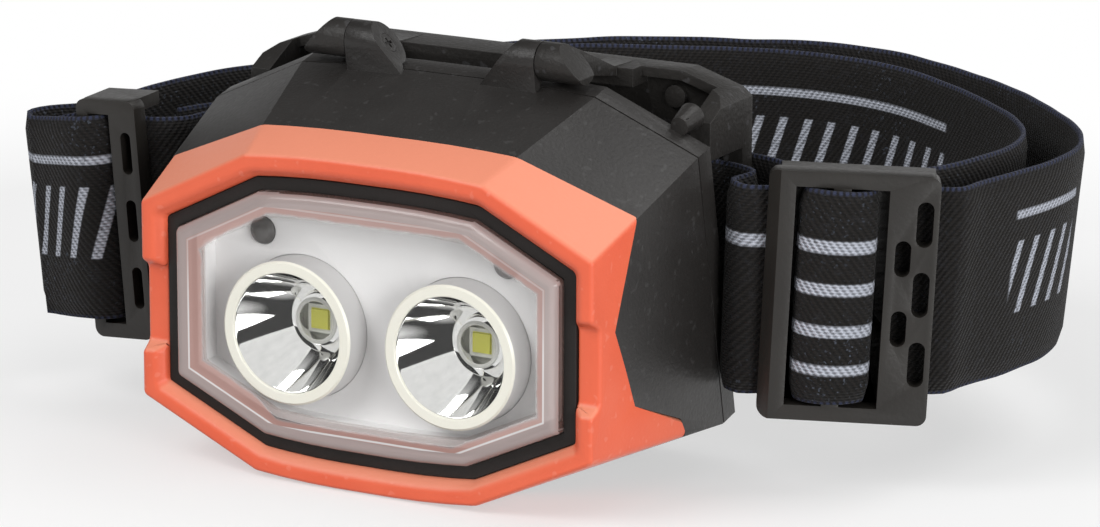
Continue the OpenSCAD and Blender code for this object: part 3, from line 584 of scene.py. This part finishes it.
# How the elastic departs from the CAD's band, in mm: the left fold sags and swells, the right fold is drawn
# in, the turn beside the buckle is pulled along the strap, and the run at the back rises
SAG, SAG_MORE_ABOVE, SAG_FROM, SAG_TO = 1.3, 0.7, 47.5, 57.5
WAVE_SAG = 0.55  # Share of the sag that the strap's wave at the keeper takes
DRAW, DRAW_LESS_ABOVE, DRAW_FROM, DRAW_TO = 1.3, 0.5, 54, 61
SWELL, SWELL_FROM, SWELL_TO = 0.75, 52, 60
PULL, PULL_AT, PULL_REACH = np.array((1.7, 0.87)), (35.4, 26.8), 3.3
RISE, RISE_AT, RISE_REACH = 0.6, (15, 93), 14


def sag(x, h):
    return (SAG + SAG_MORE_ABOVE * h) * soft_step(-x, SAG_FROM, SAG_TO)


def band_place(p, normal, h):
    q = BAND_MIDDLE + (p - BAND_MIDDLE) * (1 + TAPER * (h - 0.5)) - near(p, PULL_AT, PULL_REACH) * PULL
    drawn_in = (DRAW - DRAW_LESS_ABOVE * h) * soft_step(p[0], DRAW_FROM, DRAW_TO) \
        - SWELL * soft_step(-p[0], SWELL_FROM, SWELL_TO)
    lift = RISE * near(p, RISE_AT, RISE_REACH) - sag(p[0], h)
    place = np.array((q[0] - drawn_in, FRONT_Y + q[1], STRAP_Z + h * STRAP_W + lift))
    return place, np.array((normal[0], normal[1], 0.0))


band_path = smooth(band_points(), ROUTE_STEP)
band_rows = Rows(band_path, band_place)


def length_at(x, d):
    """Length along the band at the point of its route nearest to [x, depth]."""
    return float(band_rows.length[np.argmin(np.hypot(band_path[:, 0] - x, band_path[:, 1] - d))])


# The strap and its waves over the buckle and the keeper

PRINTED = [(length_at(-46, 19.8), length_at(-52, 37.5)), (length_at(-26.6, 76.4), length_at(40, 86.8)),
           (length_at(62.4, 60), length_at(61.6, 45)), (length_at(36, 83), length_at(-2, 87.6))]
TOP_STRIPE = (18.6, 1.5)
BESIDE_BUCKLE = sorted((length_at(40, 25.4), length_at(34.4, 30.4)))
STRAP = webbing("webbing_printed", PRINTED, [(*TOP_STRIPE, *BESIDE_BUCKLE)])
STRIPED = webbing("webbing_striped", stripes=(TOP_STRIPE, (13.6, 1.4), (8.7, 1.4), (4.1, 1.2)))
RUN_IN = webbing("webbing_run_in", [(0.0, 40.0)], lean=-0.30)
BAND_T, WAVE_T = 1.25, 1.3
band = ribbon("headband_webbing", band_rows, BAND_T, STRAP, "headband", wobble=0.12)

FRAME_BACK, BUCKLE_T = STRAP_T / 2 + 0.3, 2.4
WAVE_HIGH = FRAME_BACK + BUCKLE_T + STRAP_T / 2 + 0.15  # From the band's middle to the wave's top
WAVE_LOW = STRAP_T + 0.3
WAVE_END = STRAP_T / 2 + 0.45
CLIMB_LOW = STRAP_T * 0.9
WAVE_POINTS = 40


def on_strap(at, turn):
    """Frame of a buckle on the strap, in mm, as in the CAD."""
    a = math.radians(turn)
    out = np.array((math.sin(a), -math.cos(a)))
    along = np.array((math.cos(a), math.sin(a)))
    lean = math.atan(TAPER * float((at - BAND_MIDDLE) @ out) / STRAP_W)
    roll = math.atan(TAPER * float((at - BAND_MIDDLE) @ along) / STRAP_W)
    return Matrix.Translation((at[0], FRONT_Y + at[1], STRAP_Z + STRAP_W / 2)) @ Matrix.Rotation(a, 4, "Z") \
        @ Matrix.Rotation(roll, 4, "Y") @ Matrix.Rotation(lean, 4, "X")


def wave_place(matrix, taller):
    """Places a wave's rows on a buckle's frame; taller is what its upper edge stands higher by."""
    turn = matrix.to_3x3()

    def place(p, normal, h):
        m = matrix @ Vector((p[0], p[1], (h - 0.5) * STRAP_W + h * taller))
        m.z -= WAVE_SAG * sag(m.x, h)
        return np.array(m), np.array(turn @ Vector((normal[0], normal[1], 0)))
    return place


def wave_path(x0, x1, run_in=0.0):
    """Path over a buckle's bar; run_in is the length of a gentle climb from the band's face before it."""
    u = np.linspace(0, 1, WAVE_POINTS)
    lift = np.power(np.sin(np.pi * u).clip(0, 1), 0.4)
    arch = np.stack([x0 + (x1 - x0) * u, -WAVE_LOW - (WAVE_HIGH - WAVE_LOW) * lift], 1)
    end = (x1, -WAVE_END)
    if not run_in:
        return np.vstack([(x0, -WAVE_END), arch, end])
    falling = arch[u > 0.5]
    start = x0 - run_in
    ease = u ** 2 * (3 - 2 * u)
    climb = np.stack([start + (falling[0, 0] - start) * u, -CLIMB_LOW - (WAVE_HIGH - CLIMB_LOW) * ease], 1)
    return np.vstack([climb[:-1], falling, end])


BUCKLE_W, BUCKLE_BAR, BUCKLE_SLOT = 18.8, 2.3, 5.3
slot_x = -BUCKLE_W / 2 + BUCKLE_BAR
middle_x = slot_x + BUCKLE_SLOT
wave_x0 = slot_x + STRAP_T / 2 + 0.9
right_path = wave_path(wave_x0 - 0.5, 2 * middle_x - wave_x0)
right_rows = Rows(right_path, wave_place(on_strap(BUCKLE_AT, BUCKLE_TURN), taller=0.45))
wave_right = ribbon("strap_wave_right_webbing", right_rows, WAVE_T, STRIPED, "strap_wave_right")

KEEPER_W, KEEPER_BAR = 8.4, 1.6
keeper_mid = -KEEPER_W / 2 + KEEPER_BAR / 2
wave_half = KEEPER_BAR / 2 + STRAP_T + 0.6
left_path = wave_path(keeper_mid - wave_half, keeper_mid + wave_half, run_in=6.4)
left_rows = Rows(left_path, wave_place(on_strap(KEEPER_AT, KEEPER_TURN), taller=0.5))
wave_left = ribbon("strap_wave_left_webbing", left_rows, WAVE_T, RUN_IN, "strap_wave_left", thin_start=2.5)


# Rigid pieces

FACETS = 15.0  # Angle that rounds off the edges between the lamp's flat facets too
eased("front_bezel", ORANGE, 0.5, FACETS, 4, outside=True)
eased("front_case", BLACK, 0.35, FACETS)
eased("rear_cover", BLACK, 0.4, FACETS)
eased("bracket", BRACKET, 0.45)
eased("buckle_right", BUCKLE, 0.5)
eased("keeper_left", BUCKLE, 0.5)
eased("lens_frame", RING, 0.12)
eased("reflector_plate", PALE, 0.25)
eased("hinge_pin_left", BLACK, 0.06)
eased("hinge_pin_right", BLACK, 0.06)
eased("power_button", RUBBER, 0.15)

# The lens's large front and back faces are clear; its rim is tinted, and its step carries a painted reddish
# reflection of the orange bezel
lens = eased("lens", WINDOW, 0.4)
for tint in (RIM, STEP_REFLECTION, CLEAR):
    lens.data.materials.append(tint)
AT_WINDOW, AT_RIM, AT_STEP, AT_BACK = range(4)
WINDOW_AREA, WINDOW_D, STEP_D = 5e-4, 0.5, 2.5
for face in lens.data.polygons:
    depth = face.center.y / MM - FRONT_Y
    if face.area > WINDOW_AREA:
        face.material_index = AT_WINDOW if depth < WINDOW_D else AT_BACK
    else:
        face.material_index = AT_STEP if WINDOW_D <= depth < STEP_D else AT_RIM

# Reflector cups with a true bowl, and a collar round each light source: [radius, depth] points, in mm
REFL_D, LED_T, FLANGE_D, FLANGE = 7.8, 0.7, 6.2, 0.9
lo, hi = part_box("reflector_right")
LIGHT_X, LIGHT_Z = (lo.x + hi.x) / 2 / MM, (lo.z + hi.z) / 2 / MM
REFL_R = (hi.x - lo.x) / 2 / MM - FLANGE
RING_D = lo.y / MM - FRONT_Y
BACK_D = RING_D + REFL_D
NECK, MOUTH, BOWL = 2.9, REFL_R - 1.4, REFL_D - 0.5
FOCAL = (MOUTH ** 2 - NECK ** 2) / BOWL
BOWL_STEPS = 30
bowl = [(math.sqrt(NECK ** 2 + FOCAL * BOWL * i / BOWL_STEPS), BACK_D - 0.1 - BOWL * i / BOWL_STEPS)
        for i in range(BOWL_STEPS + 1)]
ring = [(MOUTH, RING_D + 0.1), (MOUTH + 0.1, RING_D), (REFL_R - 0.25, RING_D), (REFL_R, RING_D + 0.25)]
outer = [(REFL_R, FLANGE_D), (REFL_R + FLANGE, FLANGE_D), (REFL_R + FLANGE, FLANGE_D + FLANGE),
         (REFL_R - 0.6, FLANGE_D + FLANGE), (NECK + 1.4, BACK_D + LED_T), (NECK, BACK_D + LED_T)]
cup = [(NECK, BACK_D + LED_T)] + bowl + ring + outer
cup_spans = [1] * len(bowl) + [0] * len(ring) + [2] * len(outer)
COLLAR_OUT, COLLAR_IN, COLLAR_FOOT, COLLAR_TOP = 3.25, 2.3, BACK_D - 0.05, BACK_D - 1.1
collar = [(COLLAR_OUT, COLLAR_FOOT), (2.85, BACK_D - 1.0), (2.7, COLLAR_TOP), (2.4, COLLAR_TOP),
          (COLLAR_IN, BACK_D - 1.0), (COLLAR_IN, COLLAR_FOOT), (COLLAR_OUT, COLLAR_FOOT)]
collar_spans = [1, 0, 0, 0, 1, 1]
for side, x in (("left", -LIGHT_X), ("right", LIGHT_X)):
    lathe("reflector_%s_cup" % side, cup, (x, LIGHT_Z), [CREAM, CHROME, SHADED_CUP], cup_spans, "reflector_" + side)
    lathe("led_%s_collar" % side, collar, (x, LIGHT_Z), [COLLAR, CHROME], collar_spans, "led_" + side,
          replace=False)

# CAD nodes that stay as they are
PHOSPHOR_HALF = 1.25
LED = led_face("led_face", LIGHT_X, LIGHT_Z, PHOSPHOR_HALF)
DRESSED = (
    (LED, ("led_left", "led_right")),
    (PACKAGE, ("led_board", "switch_plunger")),
    (DOME, ("ir_emitter",)),
    (DOME_PALE, ("ir_receiver",)),
    (STEEL, ("board_screws", "tray_screws", "contact_plates", "contact_springs")),
    (RING, ("battery_tray", "tact_switch")),
    (CELL, ("cell_lower", "cell_middle", "cell_upper")),
    (BOARD, ("switch_board",)),
    (RUBBER, ("cover_seal",)),
)
for material, nodes in DRESSED:
    for node in nodes:
        dress(node, material)


# Stage, light and camera

FLOOR_HALF, FLOOR_Z = 4, -2e-4
FLOOR_NEAR, FLOOR_FAR = 0.08, 0.22  # Between these distances, in m, the floor's shading fades to white


def floor_material():
    """Pale floor that keeps the part's shadow, and is white to the camera and to reflections further out."""
    t = Material("floor_white")
    path = t.node("LightPath").outputs
    pale = t.mix(t.noise(40.0, 3.0), (0.90, 0.90, 0.90), (0.92, 0.92, 0.92))
    t.set(Base_Color=t.mix(path["Is Camera Ray"], (0.42, 0.42, 0.42), pale), Roughness=0.9)
    distance = t.node("VectorMath", i0=t.own())
    distance.operation = "LENGTH"
    away = t.ramp(distance.outputs["Value"], FLOOR_NEAR, FLOOR_FAR)
    lifted = t.math("MAXIMUM", away, t.scaled(path["Is Glossy Ray"], 0.4, 0.5))
    seen = t.fold("MAXIMUM", path["Is Camera Ray"], path["Is Glossy Ray"], path["Is Transmission Ray"])
    glow = t.node("Emission", Color=(1, 1, 1, 1), Strength=1.0)
    white = t.math("MULTIPLY", lifted, seen)
    blend = t.node("MixShader", i0=white, i1=t.shader.outputs[0], i2=glow.outputs[0])
    t.links.new(blend.outputs[0], t.nodes["Material Output"].inputs[0])
    return t.mat


floor_mesh = bpy.data.meshes.new("floor")
floor_corners = [(x * FLOOR_HALF, y * FLOOR_HALF, FLOOR_Z) for x, y in ((-1, -1), (1, -1), (1, 1), (-1, 1))]
floor_mesh.from_pydata(floor_corners, [], [(0, 1, 2, 3)])
floor_mesh.materials.append(floor_material())
floor = bpy.data.objects.new("floor", floor_mesh)
scene.collection.objects.link(floor)

PLAIN_LEVEL, AHEAD_LEVEL, ABOVE_LEVEL = 0.42, 0.03, 1.0


def studio():
    """World that is white to the camera and dim and even as soft light.

    Reflections find white overhead, at the right and low behind, and dark elsewhere.
    """
    world = bpy.data.worlds.new("studio")
    world.use_nodes = True
    t = Tree(world.node_tree)
    rays = t.node("LightPath").outputs
    x, y, z = t.node("SeparateXYZ", i0=t.node("TexCoord").outputs["Generated"]).outputs
    above = t.math("MULTIPLY", t.span(z, 0.62, 0.85), t.span(x, -0.30, 0.20, bottom=0.12))
    around = t.math("MAXIMUM", t.span(y, -0.1, 0.5), t.span(x, 0.45, 0.85))
    horizon = t.fold("MULTIPLY", around, t.span(z, 0.5, 0.3), t.span(x, -0.6, -0.2, bottom=0.6))
    mirrored = t.span(t.math("MAXIMUM", above, horizon), 0.0, 1.0, AHEAD_LEVEL, ABOVE_LEVEL)
    lit = t.node("Mix", i0=rays["Is Glossy Ray"], i2=PLAIN_LEVEL, i3=mirrored).outputs[0]
    seen = t.math("MAXIMUM", rays["Is Camera Ray"], rays["Is Transmission Ray"])
    level = t.node("Mix", i0=seen, i2=lit, i3=1.0).outputs[0]
    background = t.nodes["Background"]
    t.feed(background.inputs["Color"], (1, 1, 1, 1))
    t.feed(background.inputs["Strength"], level)
    return world


LIT_PLACE = Vector((0.0, 0.01, 0.02))


def softbox(name, place, size, power):
    data = bpy.data.lights.new(name, "AREA")
    data.shape = "RECTANGLE"
    data.size = data.size_y = size
    data.energy = power
    o = bpy.data.objects.new(name, data)
    scene.collection.objects.link(o)
    o.location = place
    o.rotation_euler = (LIT_PLACE - Vector(place)).to_track_quat("-Z", "Y").to_euler()


# The photo's camera, solved from the lamp's edges: degrees, metres, and pixels of the photo
CAMERA_AZ, CAMERA_EL, CAMERA_ROLL = 28.8752, 14.4076, 0.1648
CAMERA_AT = (0.2993037, -0.511961, 0.1767684)
FOCAL_PX, PHOTO_W, SENSOR_W = 5237.05, 1100, 36.0


def photo_camera():
    az, el, roll = (math.radians(v) for v in (CAMERA_AZ, CAMERA_EL, CAMERA_ROLL))
    behind = Vector((math.sin(az) * math.cos(el), -math.cos(az) * math.cos(el), math.sin(el)))
    level = Vector((math.cos(az), math.sin(az), 0))
    right = level * math.cos(roll) + behind.cross(level) * math.sin(roll)
    turn = Matrix((right, behind.cross(right), behind)).transposed()
    data = bpy.data.cameras.new("camera")
    data.sensor_width = SENSOR_W
    data.lens = SENSOR_W * FOCAL_PX / PHOTO_W
    data.clip_start, data.clip_end = 0.01, 50
    camera = bpy.data.objects.new("camera", data)
    scene.collection.objects.link(camera)
    camera.matrix_world = Matrix.Translation(CAMERA_AT) @ turn.to_4x4()
    return camera


scene.world = studio()
softbox("key", (-0.33, -0.62, 0.68), 0.5, 4.2)
softbox("top", (0.40, 0.34, 0.76), 0.6, 1.9)
softbox("fill", (0.75, -0.45, 0.20), 0.4, 5.0)
scene.camera = photo_camera()
scene.view_settings.view_transform = "Standard"
